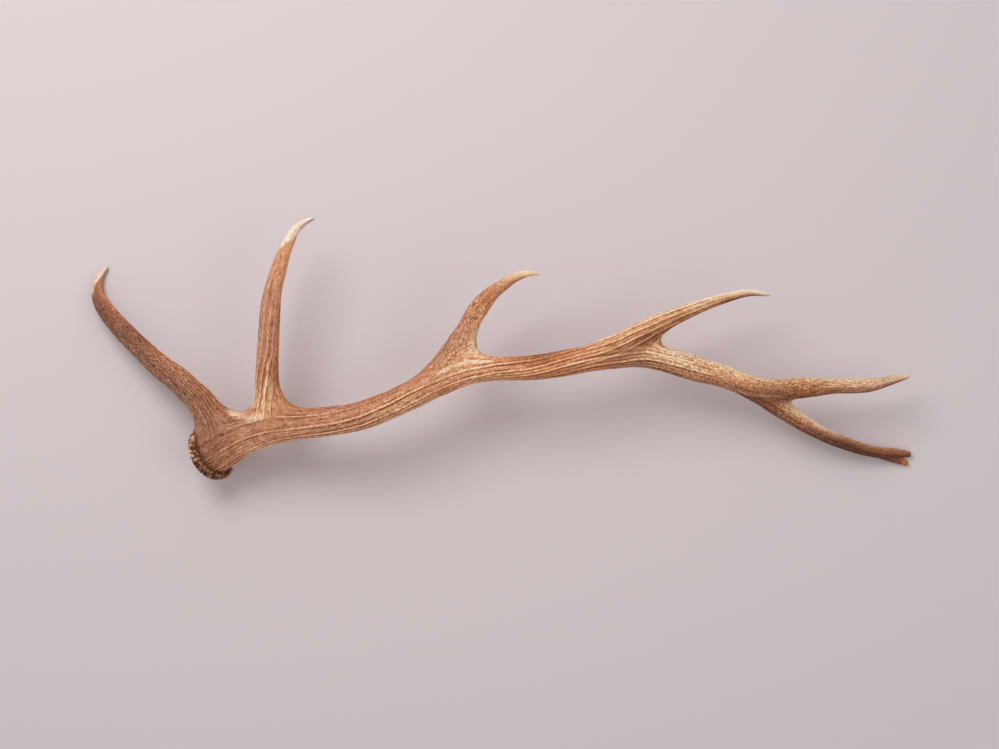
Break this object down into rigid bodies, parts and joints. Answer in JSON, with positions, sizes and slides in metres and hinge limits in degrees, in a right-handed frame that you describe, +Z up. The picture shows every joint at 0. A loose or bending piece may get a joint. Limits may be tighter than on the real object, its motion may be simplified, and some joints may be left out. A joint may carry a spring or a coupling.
{
  "type": "elk antler shed",
  "caption": "Shed elk antler lying on its side: a ridged brown main beam with a beaded burr and a flat seal at its base, and curved tines with pale polished tips.",
  "frame": {"origin": "middle of the antler's outline, on the surface that it lies on", "axes": "+X from the burr towards the tip of the beam, +Y towards the tips of the tines, +Z up from the surface that the antler lies on"},
  "size_m": [1.2501, 0.3911, 0.143],
  "materials": {
    "base_bone": "matt, grained and beaded bone",
    "dark_tine": "satin dark brown bone with fine ridges",
    "tine": "satin brown bone, polished ivory tip",
    "beam": "satin tan bone with long ridges and dark furrows",
    "pale_tine": "satin straw-brown bone, polished pale tip",
    "dark_tip": "satin dark reddish brown bone, splintered end"
  },
  "bodies": {
    "root": {"burr_base": "base_bone", "brow_tine": "dark_tine", "bez_tine": "tine", "lower_beam": "beam", "trez_tine": "tine", "middle_beam": "beam", "royal_tine": "pale_tine", "upper_beam": "beam", "fifth_tine": "pale_tine", "beam_tip": "dark_tip"}
  },
  "joints": []
}
